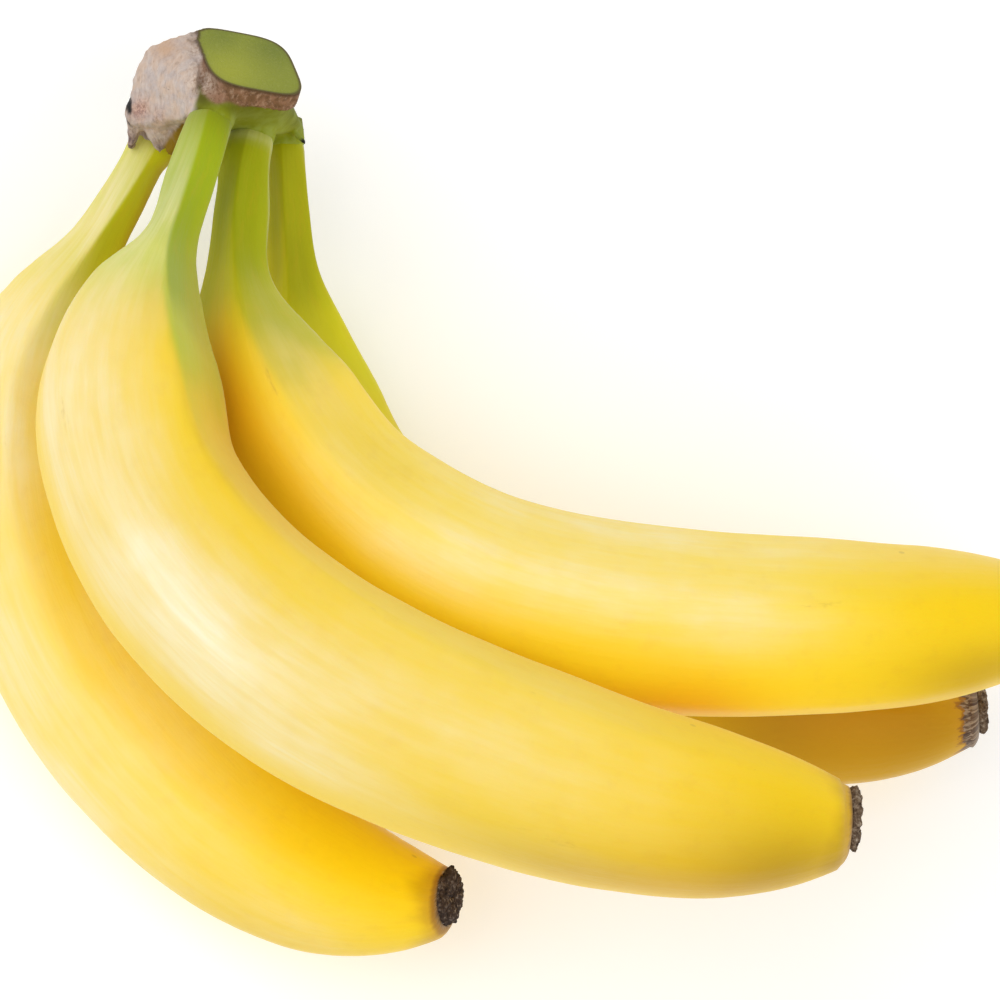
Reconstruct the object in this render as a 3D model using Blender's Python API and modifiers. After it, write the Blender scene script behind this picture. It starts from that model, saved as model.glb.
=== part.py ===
# Bunch of four bananas on one crown, lying on its side on a flat surface at z = 0.
# Seen from above, the stalks come down from the crown at the back left and the fruit sweeps
# round to the right. Two bananas touch the surface, the other two lie on and over them.
import math

import bmesh
import bpy
import numpy as np
from mathutils import Matrix, Vector

MM = 0.001
GAP = 0.35 * MM          # space left between pieces that touch

# The bunch's place on the surface, so that the origin is under the middle of its box.
SHIFT_X = -3.3 * MM
SHIFT_Y = -2.6 * MM

# A banana's spine runs from its stalk to its tip. Headings are in degrees seen from above,
# 0 along +X, and both lists are smoothed between their stations, given as shares of length.
HEADING_AT = (0.0, 0.12, 0.24, 0.38, 0.58, 0.80, 1.0)
HEIGHT_AT = (0.0, 0.25, 0.55, 0.80, 1.0)

# name: start x and y, length, girth as a share of the full girth, headings, heights,
# and at RIDGE_AT's stations the turn of the ridges round the spine, in degrees from straight up
BANANAS = {
    "left": dict(start=(-65.5, 71.0), length=193, girth=0.96,
                 heading=(-115, -120, -105, -84, -58, -36, -2),
                 height=(27, 15.3, 16.4, 16, 25), ridges=(-15, -15, -15, -16, -10, -5)),
    "front": dict(start=(-55.5, 68.0), length=221.5, girth=1.03,
                  heading=(-107, -112, -95, -60, -30, -15, -1),
                  height=(50, 61, 70, 70, 68), ridges=(-12, 5, 22, 40, 30, 30)),
    "right": dict(start=(-46.5, 69.0), length=224, girth=0.96,
                  heading=(-106, -89, -68, -39, -9, 1, 7),
                  height=(37, 44.5, 51, 49, 45), ridges=(-18, -12, -4, 8, 8, 20)),
    "back": dict(start=(-39.0, 72.0), length=206.5, girth=0.92,
                 heading=(-87, -85, -79, -46, -27, -9, 4),
                 height=(23, 14, 16, 16, 19), ridges=(-18, -18, -14, 0, 0, 0)),
}

# Radius in millimetres along a banana: stalk, shoulder, body and tapered tip.
GIRTH_AT = (0.0, 0.06, 0.12, 0.18, 0.24, 0.34, 0.50, 0.66, 0.80, 0.90, 0.96, 1.0)
GIRTH = (4.1, 4.5, 5.7, 10.6, 15.1, 16.4, 17.7, 17.9, 16.5, 14.0, 10.3, 6.6)

# Five soft ridges run along the peel: strong at the shoulder, faint at the tip.
RIDGE_COUNT = 5
RIDGE_AT = (0.0, 0.10, 0.22, 0.50, 0.80, 1.0)
RIDGE_DEPTH = (0.04, 0.08, 0.07, 0.04, 0.035, 0.0)
RIDGE_SHARPNESS = 1.2

RINGS = 38
AROUND = 30            # a multiple of the ridges, so that each ridge runs along an edge

# Dark dry tip of a banana.
TIP_LENGTH = 2.4 * MM
TIP_WIDTH = 0.82         # as a share of the banana's blunt end
TIP_SHIFT = 1.0 * MM     # towards the inner side of the curve
TIP_ROUGHNESS = 0.07
TIP_AROUND = 20

# The crown is described in its own axes: side is across the stalks, up is from the stalks to
# the cut face and out is away from the surface. They lean from the surface's axes by LEAN.
LEAN = math.radians(14)
LEAN_TOWARD = math.radians(225)
OUT = Vector((math.sin(LEAN) * math.cos(LEAN_TOWARD), math.sin(LEAN) * math.sin(LEAN_TOWARD),
              math.cos(LEAN)))
SIDE = (Vector((1, 0, 0)) - OUT.x * OUT).normalized()
UP = OUT.cross(SIDE)

# Knife cut through the top of the crown: a squared oval 19 by 24 mm, facing up and out.
CUT_CENTRE = Vector((6.5, 12.5, -7.9))
CUT_NORMAL = Vector((0.31, 0.81, 0.50)).normalized()
CUT_HALF_LENGTH = 12.2
CUT_HALF_WIDTH = 9.3
CUT_ROLL = math.radians(64)
CUT_SQUARENESS = 0.53     # 1 is an ellipse, less is squarer
RIM_HEIGHT = 3.6
RIM_OVERHANG = 1.6

# Corky skin on the crown's left, with two torn lobes that reach down over the outer stalk.
CORK_FACE = ((-3.5, 19.0, -13.0), (-4.9, 17.8, -10.4), (-7.5, 17.1, -9.0), (-10.9, 16.2, -10.0),
             (-13.3, 15.2, -10.5), (-15.2, 11.3, -11.0), (-16.4, 7.6, -11.5), (-17.0, 1.1, -13.0),
             (-10.4, 0.0, -9.0), (-5.1, 0.7, -1.5), (-3.2, 3.3, 1.5), (-3.6, 6.4, 1.5),
             (-2.2, 8.8, 0.5))
CORK_DEPTH = 12.0
LOBES = (
    ((-16.8, 4.7, -11.5), (-17.2, 1.1, -13.0), (-17.5, -2.7, -15.5), (-16.8, -3.1, -15.5),
     (-15.4, -1.0, -14.0), (-14.1, 0.9, -12.5), (-12.4, 4.4, -9.5)),
    ((-14.2, 4.0, -10.5), (-14.0, 0.8, -12.0), (-12.4, -2.5, -14.0), (-11.4, -3.7, -15.0),
     (-9.3, -2.2, -12.5), (-6.7, -0.1, -6.5), (-6.1, 3.1, -4.0)),
)
LOBE_DEPTH = 2.4
NUB = dict(centre=(-17.6, 3.8, -13.0), radius=1.8)
SPUR = dict(root=(13.2, 3.4, -25.0), tip=(15.9, 1.4, -24.0), radius=1.1)

# Each stalk's green root in the crown widens upwards from the ring where the stalk begins.
STUB_LENGTH = 5.5 * MM
STUB_WIDENING = (0.95, 1.03, 0.98)    # at its top, just above the ring, and past the ring
RING_ABOVE = 1.2 * MM
WEB_ABOVE = 3 * MM       # the roots are fused from this far above the rings
CUT_ALLOWANCE = 3 * MM   # what is made past a cut and then cut away
STALK_CUTTER = 1.45      # a stalk cutter's radius as a share of the stalk's
CORK_NARROWING = 0.92
VOXEL = 0.75 * MM
CROWN_KEEP = 0.18        # share of the crown's triangles kept after it is smoothed

PEEL_YELLOW = (0.90, 0.66, 0.12, 1.0)
CROWN_BROWN = (0.30, 0.20, 0.13, 1.0)
TIP_BROWN = (0.06, 0.04, 0.03, 1.0)


def smooth(stations, values, at):
    """A smooth curve through the values, read at a share of length."""
    stations = np.asarray(stations, float)
    values = np.asarray(values, float)
    slopes = np.gradient(values, stations)
    i = np.clip(np.searchsorted(stations, at, side="right") - 1, 0, len(stations) - 2)
    step = stations[i + 1] - stations[i]
    t = (at - stations[i]) / step
    start = (1 + 2 * t) * (1 - t) ** 2 * values[i] + t * (1 - t) ** 2 * step * slopes[i]
    end = t * t * (3 - 2 * t) * values[i + 1] + t * t * (t - 1) * step * slopes[i + 1]
    return start + end


def spine(banana, count=241):
    """Points along a banana's middle line, in metres, at even steps of length."""
    shares = np.linspace(0, 1, count)
    heading = np.radians(smooth(HEADING_AT, banana["heading"], shares))
    height = smooth(HEIGHT_AT, banana["height"], shares) * MM
    step = banana["length"] * MM / (count - 1)
    rise = np.diff(height)
    run = np.sqrt(step ** 2 - rise ** 2)
    middle = (heading[1:] + heading[:-1]) / 2
    x = banana["start"][0] * MM + SHIFT_X + np.concatenate([[0], np.cumsum(run * np.cos(middle))])
    y = banana["start"][1] * MM + SHIFT_Y + np.concatenate([[0], np.cumsum(run * np.sin(middle))])
    return [Vector(p) for p in np.stack([x, y, height], axis=1)]


def station(points, share):
    """Place, direction, inner side and upper side of a spine at a share of its length."""
    last = len(points) - 1
    exact = min(max(share, 0.0), 1.0) * last
    i = min(int(exact), last - 1)
    place = points[i].lerp(points[i + 1], exact - i)
    along = (points[min(i + 2, last)] - points[max(i - 1, 0)]).normalized()
    inner = Vector((0, 0, 1)).cross(along).normalized()
    upper = along.cross(inner)
    return place, along, inner, upper


def loft(rings, name):
    """A closed skin over rings that all have the same number of points, with flat ends."""
    mesh = bmesh.new()
    rows = [[mesh.verts.new(p) for p in ring] for ring in rings]
    count = len(rows[0])
    for a, b in zip(rows, rows[1:]):
        for k in range(count):
            mesh.faces.new((a[k], a[(k + 1) % count], b[(k + 1) % count], b[k]))
    mesh.faces.new(list(reversed(rows[0])))
    mesh.faces.new(rows[-1])
    mesh.normal_update()
    bmesh.ops.recalc_face_normals(mesh, faces=mesh.faces)
    data = bpy.data.meshes.new(name)
    mesh.to_mesh(data)
    mesh.free()
    return data


def material(name, colour, roughness):
    made = bpy.data.materials.new(name)
    made.use_nodes = True
    shader = made.node_tree.nodes["Principled BSDF"]
    shader.inputs["Base Color"].default_value = colour
    shader.inputs["Roughness"].default_value = roughness
    return made


def add_object(name, data, collection, colour=None, roughness=0.5):
    made = bpy.data.objects.new(name, data)
    collection.objects.link(made)
    if colour:
        data.materials.append(material(name, colour, roughness))
        data.shade_smooth()
        data.set_sharp_from_angle(angle=math.radians(40))
    return made


def add_cutter(name, data, cutters):
    cutter = add_object(name, data, cutters)
    cutter.hide_render = True
    cutter.display_type = "WIRE"
    return cutter


def cut(target, cutter):
    knife = target.modifiers.new("cut_" + cutter.name, "BOOLEAN")
    knife.operation = "DIFFERENCE"
    knife.object = cutter
    return knife


def ridge(angle, share):
    """How far the peel stands out from its mean radius, as a share of it."""
    crest = 1 - 2 * abs(math.sin(RIDGE_COUNT / 2 * angle)) ** RIDGE_SHARPNESS
    return float(smooth(RIDGE_AT, RIDGE_DEPTH, share)) * crest


def peel_ring(banana, points, share):
    place, _, inner, upper = station(points, share)
    radius = float(smooth(GIRTH_AT, GIRTH, share)) * banana["girth"] * MM
    turn = math.radians(float(smooth(RIDGE_AT, banana["ridges"], share)))
    ring = []
    for k in range(AROUND):
        angle = 2 * math.pi * k / AROUND
        reach = radius * (1 + ridge(angle, share))
        facing = math.cos(angle + turn) * upper + math.sin(angle + turn) * inner
        ring.append(place + reach * facing)
    return ring


def add_banana(side, banana, parts):
    points = spine(banana)
    first = GAP / (banana["length"] * MM)
    rings = [peel_ring(banana, points, share) for share in np.linspace(first, 1, RINGS)]
    return add_object("banana_" + side, loft(rings, "banana_" + side), parts, PEEL_YELLOW, 0.45)


def add_blossom_end(side, banana, parts):
    """Short dark disc with an uneven edge, just past the banana's blunt end."""
    place, along, inner, upper = station(spine(banana), 1.0)
    radius = GIRTH[-1] * banana["girth"] * TIP_WIDTH * MM
    profile = ((0.0, 0.92), (0.35, 1.0), (0.75, 0.90), (1.0, 0.55))
    rings = []
    for share, width in profile:
        centre = place + along * (GAP + share * TIP_LENGTH) + inner * TIP_SHIFT
        ring = []
        for k in range(TIP_AROUND):
            angle = 2 * math.pi * k / TIP_AROUND
            wave = math.sin(3 * angle + banana["length"]) + 0.6 * math.sin(7 * angle)
            reach = radius * width * (1 + TIP_ROUGHNESS * wave * share)
            ring.append(centre + reach * (math.cos(angle) * upper + math.sin(angle) * inner))
        rings.append(ring)
    name = "blossom_end_" + side
    return add_object(name, loft(rings, name), parts, TIP_BROWN, 0.9)


def crown_point(local):
    """A point given in millimetres in the crown's axes, from the front banana's start."""
    start = BANANAS["front"]["start"]
    height = BANANAS["front"]["height"][0]
    origin = Vector((start[0] * MM + SHIFT_X, start[1] * MM + SHIFT_Y, height * MM))
    return origin + (local[0] * SIDE + local[1] * UP + local[2] * OUT) * MM


def cut_axes():
    across = CUT_NORMAL.cross(Vector((0, 0, 1))).normalized()
    return across, across.cross(CUT_NORMAL)


def squared(value):
    return math.copysign(abs(value) ** CUT_SQUARENESS, value)


def oval(offset, grow, count=40):
    """Ring parallel to the knife cut, above it or below it by an offset in millimetres."""
    across, deep = cut_axes()
    centre = CUT_CENTRE + CUT_NORMAL * offset
    ring = []
    for k in range(count):
        angle = 2 * math.pi * k / count
        long = (CUT_HALF_LENGTH + grow) * squared(math.cos(angle))
        wide = (CUT_HALF_WIDTH + grow) * squared(math.sin(angle))
        u = long * math.cos(CUT_ROLL) - wide * math.sin(CUT_ROLL)
        v = long * math.sin(CUT_ROLL) + wide * math.cos(CUT_ROLL)
        ring.append(crown_point(centre + across * u + deep * v))
    return ring


def disc(place, along, radius, count=16):
    side = along.orthogonal().normalized()
    other = along.cross(side)
    angles = [2 * math.pi * k / count for k in range(count)]
    return [place + radius * (math.cos(a) * side + math.sin(a) * other) for a in angles]


def add_hull(mesh, points):
    made = bmesh.new()
    for p in points:
        made.verts.new(p)
    bmesh.ops.convex_hull(made, input=made.verts)
    data = bpy.data.meshes.new("hull")
    made.to_mesh(data)
    made.free()
    mesh.from_mesh(data)
    bpy.data.meshes.remove(data)


def add_ball(mesh, centre, radius, stretch=(1, 1, 1)):
    place = Matrix.Translation(centre) @ Matrix.Diagonal((*stretch, 1))
    bmesh.ops.create_icosphere(mesh, subdivisions=3, radius=radius, matrix=place)


def add_taper(mesh, root, tip, radius, tip_radius):
    along = (tip - root).normalized()
    add_hull(mesh, disc(root, along, radius) + disc(tip, along, tip_radius)
             + [root - along * radius * 0.7, tip + along * tip_radius * 0.7])


def add_slab(mesh, front, depth):
    """A torn flap of skin: the front outline, and the same outline further back."""
    near = [mesh.verts.new(crown_point(p)) for p in front]
    far = [mesh.verts.new(crown_point(Vector(p) - Vector((0, 0, depth)))) for p in front]
    faces = [mesh.faces.new(near), mesh.faces.new(list(reversed(far)))]
    for k in range(len(near)):
        j = (k + 1) % len(near)
        mesh.faces.new((near[j], near[k], far[k], far[j]))
    bmesh.ops.triangulate(mesh, faces=faces)


def crown_lump():
    """The crown before it is smoothed: overlapping solids in one mesh."""
    mesh = bmesh.new()
    stalk_discs = []
    for banana in BANANAS.values():
        place, along, _, _ = station(spine(banana), 0.0)
        radius = GIRTH[0] * banana["girth"] * MM
        top, ring, past = (radius * share for share in STUB_WIDENING)
        stalk_discs += disc(place - along * WEB_ABOVE, along, ring)
        add_hull(mesh, disc(place - along * STUB_LENGTH, along, top)
                 + disc(place - along * RING_ABOVE, along, ring)
                 + disc(place + along * CUT_ALLOWANCE, along, past))
    add_hull(mesh, stalk_discs + oval(-RIM_HEIGHT, -RIM_OVERHANG))
    add_hull(mesh, oval(-RIM_HEIGHT, 0.0) + oval(CUT_ALLOWANCE / MM, 0.0))
    face = [Vector(p) for p in CORK_FACE]
    behind = [p * CORK_NARROWING - Vector((0, 0, CORK_DEPTH)) for p in face]
    add_hull(mesh, [crown_point(p) for p in face + behind])
    for lobe in LOBES:
        add_slab(mesh, lobe, LOBE_DEPTH)
    add_ball(mesh, crown_point(NUB["centre"]), NUB["radius"] * MM, (0.8, 1.7, 1.0))
    add_taper(mesh, crown_point(SPUR["root"]), crown_point(SPUR["tip"]),
              SPUR["radius"] * MM, SPUR["radius"] * 0.6 * MM)
    data = bpy.data.meshes.new("crown")
    mesh.to_mesh(data)
    mesh.free()
    return data


def box_above_cut():
    """Box whose lower face is the knife cut."""
    across, deep = cut_axes()
    half = 30.0
    height = 20.0
    mesh = bmesh.new()
    bmesh.ops.create_cube(mesh, size=1.0)
    for v in mesh.verts:
        local = (CUT_CENTRE + across * v.co.x * 2 * half + deep * v.co.y * 2 * half
                 + CUT_NORMAL * (v.co.z + 0.5) * height)
        v.co = crown_point(local)
    mesh.normal_update()
    bmesh.ops.recalc_face_normals(mesh, faces=mesh.faces)
    data = bpy.data.meshes.new("knife")
    mesh.to_mesh(data)
    mesh.free()
    return data


def add_crown(parts, cutters):
    crown = add_object("crown", crown_lump(), parts)
    crown.data.materials.append(material("crown", CROWN_BROWN, 0.85))
    skin = crown.modifiers.new("one_skin", "REMESH")
    skin.mode = "VOXEL"
    skin.voxel_size = VOXEL
    skin.use_smooth_shade = True
    soften = crown.modifiers.new("soften", "SMOOTH")
    soften.factor = 0.5
    soften.iterations = 3
    thin = crown.modifiers.new("thin", "DECIMATE")
    thin.ratio = CROWN_KEEP
    cut(crown, add_cutter("knife_cut", box_above_cut(), cutters))
    for side, banana in BANANAS.items():
        place, along, _, _ = station(spine(banana), 0.0)
        radius = GIRTH[0] * banana["girth"] * STALK_CUTTER * MM
        far_end = place + along * 2 * CUT_ALLOWANCE
        rings = [disc(place, along, radius), disc(far_end, along, radius)]
        cut(crown, add_cutter("stalk_cut_" + side, loft(rings, "stalk_cut_" + side), cutters))
    return crown


def surface_box():
    """Everything under the surface, to cut the flat resting spots."""
    mesh = bmesh.new()
    bmesh.ops.create_cube(mesh, size=0.4, matrix=Matrix.Translation((0, 0, -0.2)))
    data = bpy.data.meshes.new("surface")
    mesh.to_mesh(data)
    mesh.free()
    return data


def main():
    for old in list(bpy.data.objects):
        bpy.data.objects.remove(old, do_unlink=True)
    parts = bpy.data.collections.new("banana_bunch")
    cutters = bpy.data.collections.new("cutters")
    bpy.context.scene.collection.children.link(parts)
    bpy.context.scene.collection.children.link(cutters)

    add_crown(parts, cutters)
    surface = add_cutter("surface", surface_box(), cutters)
    for side, banana in BANANAS.items():
        peel = add_banana(side, banana, parts)
        if side in ("left", "back"):
            cut(peel, surface)
        add_blossom_end(side, banana, parts)


main()
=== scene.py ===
import math

import bmesh
import bpy
import numpy as np
from mathutils import Matrix, Vector, noise


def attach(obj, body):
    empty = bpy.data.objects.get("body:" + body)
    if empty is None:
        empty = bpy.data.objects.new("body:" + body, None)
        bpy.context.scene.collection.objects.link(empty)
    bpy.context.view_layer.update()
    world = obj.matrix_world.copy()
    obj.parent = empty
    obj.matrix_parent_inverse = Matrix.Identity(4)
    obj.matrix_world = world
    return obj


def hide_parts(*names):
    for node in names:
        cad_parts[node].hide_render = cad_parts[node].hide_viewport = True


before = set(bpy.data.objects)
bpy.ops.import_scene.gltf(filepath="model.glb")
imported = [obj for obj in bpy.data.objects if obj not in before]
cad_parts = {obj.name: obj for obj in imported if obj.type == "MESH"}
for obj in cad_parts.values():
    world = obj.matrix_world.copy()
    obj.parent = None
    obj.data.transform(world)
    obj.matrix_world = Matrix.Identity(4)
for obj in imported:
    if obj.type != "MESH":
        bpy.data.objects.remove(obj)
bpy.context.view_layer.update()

# Sizes repeated from the part, in millimetres unless MM is written.
MM = 0.001
SHIFT = Vector((-3.3, -2.6, 0.0)) * MM
HEADING_AT = (0.0, 0.12, 0.24, 0.38, 0.58, 0.80, 1.0)
HEIGHT_AT = (0.0, 0.25, 0.55, 0.80, 1.0)
BANANAS = {
    "left": dict(start=(-65.5, 71.0), length=193, girth=0.96,
                 heading=(-115, -120, -105, -84, -58, -36, -2),
                 height=(27, 15.3, 16.4, 16, 25), ridges=(25, 3, -12, -16, -10, -5)),
    "front": dict(start=(-55.5, 68.0), length=221.5, girth=1.03,
                  heading=(-107, -112, -95, -60, -30, -15, -1),
                  height=(50, 61, 70, 70, 68), ridges=(-12, 5, 22, 40, 30, 30)),
    "right": dict(start=(-46.5, 69.0), length=224, girth=0.96,
                  heading=(-106, -89, -68, -39, -9, 1, 7),
                  height=(37, 44.5, 51, 49, 45), ridges=(-18, -12, -4, 8, 8, 20)),
    "back": dict(start=(-39.0, 72.0), length=206.5, girth=0.92,
                 heading=(-87, -85, -79, -46, -27, -9, 4),
                 height=(23, 14, 16, 16, 19), ridges=(-18, -18, -14, 0, 0, 0)),
}
GIRTH_AT = (0.0, 0.06, 0.12, 0.18, 0.24, 0.34, 0.50, 0.66, 0.80, 0.90, 0.96, 1.0)
GIRTH = (4.1, 4.5, 5.7, 10.6, 15.1, 16.4, 17.7, 17.9, 16.5, 14.0, 10.3, 6.6)
RIDGE_COUNT = 5
RIDGE_AT = (0.0, 0.10, 0.22, 0.50, 0.80, 1.0)
RIDGE_DEPTH = (0.075, 0.09, 0.075, 0.045, 0.035, 0.0)
RIDGE_SHARPNESS = 1.08

LEAN = math.radians(14)
LEAN_TOWARD = math.radians(225)
OUT = Vector((math.sin(LEAN) * math.cos(LEAN_TOWARD), math.sin(LEAN) * math.sin(LEAN_TOWARD),
              math.cos(LEAN)))
SIDE = (Vector((1, 0, 0)) - OUT.x * OUT).normalized()
UP = OUT.cross(SIDE)

CUT_CENTRE = Vector((6.5, 12.5, -7.9))
CUT_NORMAL = Vector((0.31, 0.81, 0.50)).normalized()
CUT_HALF_LENGTH = 12.2
CUT_HALF_WIDTH = 9.3
CUT_SQUARENESS = 0.53
CUT_ROLL = math.radians(64)
RIM_HEIGHT = 3.6
RIM_OVERHANG = 1.6
CORK_FACE = ((-3.5, 19.0, -13.0), (-4.9, 17.8, -10.4), (-7.5, 17.1, -9.0), (-10.9, 16.2, -10.0),
             (-13.3, 15.2, -10.5), (-15.2, 11.3, -11.0), (-16.4, 7.6, -11.5), (-17.0, 1.1, -13.0),
             (-10.4, 0.0, -9.0), (-5.1, 0.7, -1.5), (-3.2, 3.3, 1.5), (-3.6, 6.4, 1.5),
             (-2.2, 8.8, 0.5))
CORK_DEPTH = 12.0
CORK_NARROWING = 0.92
LOBES = (
    ((-16.8, 4.7, -11.5), (-17.2, 1.1, -13.0), (-17.5, -2.7, -15.5), (-16.8, -3.1, -15.5),
     (-15.4, -1.0, -14.0), (-14.1, 0.9, -12.5), (-12.4, 4.4, -9.5)),
    ((-14.2, 4.0, -10.5), (-14.0, 0.8, -12.0), (-12.4, -2.5, -14.0), (-11.4, -3.7, -15.0),
     (-9.3, -2.2, -12.5), (-6.7, -0.1, -6.5), (-6.1, 3.1, -4.0)),
)
LOBE_DEPTH = 2.4
NUB = dict(centre=(-16.3, 3.8, -13.0), radius=1.8, stretch=(0.6, 1.6, 1.0))
SPUR = dict(root=(13.6, 1.4, -25.0), tip=(15.9, -0.9, -24.2), radius=0.7)
# A strip of stalk skin in the fold between the corky lobe and the front banana.
# Its darker olive colour is painted shade in the fold.
FOLD = dict(root=(-8.6, -3.6, -14.0), tip=(-4.4, 1.0, -7.0), radius=1.3)
STUB_LENGTH = 5.5 * MM
STUB_WIDENING = (0.95, 1.03, 0.98)
RING_ABOVE = 1.2 * MM
WEB_ABOVE = 3 * MM

# Fine meshes for the looks.
RINGS = 190
AROUND = 108
STALK_TUCK = 1.0 * MM     # how far a stalk's skin goes up into the crown
STALK_TAPER = 0.12        # how much narrower it gets there
STRAIGHT_RADIUS = 0.017   # girth of the straightened banana that the peel's noises are read on
CROWN_VOXEL = 0.42 * MM
CUT_RINGS = (0.03, 0.07, 0.14, 0.25, 0.4, 0.6, 0.8, 0.95)

# Camera: the photograph's view, looking down on the bunch.
VIEW_TARGET = Vector((0, 0, 0.032)) + SHIFT
VIEW_DISTANCE = 0.53
LENS = 100.0
SENSOR = 36.0


def smooth(stations, values, at):
    """A smooth curve through the values, read at shares of length."""
    stations = np.asarray(stations, float)
    values = np.asarray(values, float)
    slopes = np.gradient(values, stations)
    i = np.clip(np.searchsorted(stations, at, side="right") - 1, 0, len(stations) - 2)
    step = stations[i + 1] - stations[i]
    t = (at - stations[i]) / step
    start = (1 + 2 * t) * (1 - t) ** 2 * values[i] + t * (1 - t) ** 2 * step * slopes[i]
    end = t * t * (3 - 2 * t) * values[i + 1] + t * t * (t - 1) * step * slopes[i + 1]
    return start + end


def spine(banana, count=241):
    """Points along a banana's middle line, in metres, at even steps of length."""
    shares = np.linspace(0, 1, count)
    heading = np.radians(smooth(HEADING_AT, banana["heading"], shares))
    height = smooth(HEIGHT_AT, banana["height"], shares) * MM
    step = banana["length"] * MM / (count - 1)
    run = np.sqrt(step ** 2 - np.diff(height) ** 2)
    middle = (heading[1:] + heading[:-1]) / 2
    x = banana["start"][0] * MM + SHIFT.x + np.concatenate([[0], np.cumsum(run * np.cos(middle))])
    y = banana["start"][1] * MM + SHIFT.y + np.concatenate([[0], np.cumsum(run * np.sin(middle))])
    return [Vector(p) for p in np.stack([x, y, height], axis=1)]


def station(points, share):
    """Place, direction, inner side and upper side of a spine at a share of its length."""
    last = len(points) - 1
    exact = min(max(share, 0.0), 1.0) * last
    i = min(int(exact), last - 1)
    place = points[i].lerp(points[i + 1], exact - i)
    along = (points[min(i + 2, last)] - points[max(i - 1, 0)]).normalized()
    if share < 0:
        place = points[0] + along * share * (points[-1] - points[0]).length
    inner = Vector((0, 0, 1)).cross(along).normalized()
    upper = along.cross(inner)
    return place, along, inner, upper


def crest(angle, turn):
    """1 on a ridge of the peel, down to -1 between two ridges."""
    return 1 - 2 * abs(math.sin(RIDGE_COUNT / 2 * (angle - turn))) ** RIDGE_SHARPNESS


def new_object(name, data, material, node=None):
    made = bpy.data.objects.new(name, data)
    bpy.context.scene.collection.objects.link(made)
    data.materials.append(material)
    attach(made, "root")
    if node:
        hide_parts(node)
    return made


def point_attribute(data, name, values):
    made = data.attributes.new(name, "FLOAT", "POINT")
    made.data.foreach_set("value", np.asarray(values, np.float32))


def vector_attribute(data, name, values):
    made = data.attributes.new(name, "FLOAT_VECTOR", "POINT")
    made.data.foreach_set("vector", np.asarray(values, np.float32).ravel())


def skin(name, rings):
    """Closed mesh over rings of points, all with the same count, plus one point at each end."""
    count = len(rings[0])
    verts = [tuple(p) for ring in rings for p in ring]
    faces = []
    for r in range(len(rings) - 1):
        for k in range(count):
            a = r * count + k
            b = r * count + (k + 1) % count
            faces.append((a, b, b + count, a + count))
    for ring in (rings[0], rings[-1]):
        verts.append(tuple(sum((Vector(p) for p in ring), Vector()) / count))
    start, end = len(verts) - 2, len(verts) - 1
    base = (len(rings) - 1) * count
    faces += [(start, (k + 1) % count, k) for k in range(count)]
    faces += [(end, base + k, base + (k + 1) % count) for k in range(count)]
    data = bpy.data.meshes.new(name)
    data.from_pydata(verts, [], faces)
    data.update()
    data.shade_smooth()
    return data


def lump(point, size, seed):
    return noise.noise(Vector(point) / size + Vector((seed, seed * 2.3, -seed)))


def tilted(point, place, along, lean):
    """The point, slid along the banana so that its cross section leans towards the viewer."""
    toward = (OUT - OUT.dot(along) * along).normalized()
    return point - along * ((point - place).dot(toward) * math.tan(lean))


# Where the stalks are a little fuller or slimmer than the solids: middle share, reach, and
# millimetres on the outer and the inner side.
STALK_FIT = {
    "left": ((0.0, 0.016, 0.0, 1.8),),
    "front": ((0.125, 0.045, -2.7, 0.0),),
    "right": ((0.02, 0.020, 1.4, 0.0), (0.07, 0.045, 0.0, 1.6), (0.15, 0.030, 0.0, -1.0)),
    "back": (),
}


def stalk_fit(side, share, turned):
    """Metres to add to the reach; turned is 1 on the inner side and -1 on the outer one."""
    total = 0.0
    for at, reach, outer, inner in STALK_FIT[side]:
        change = outer * max(0.0, -turned) ** 2 + inner * max(0.0, turned) ** 2
        total += change * math.exp(-((share - at) / reach) ** 2)
    return total * MM


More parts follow.
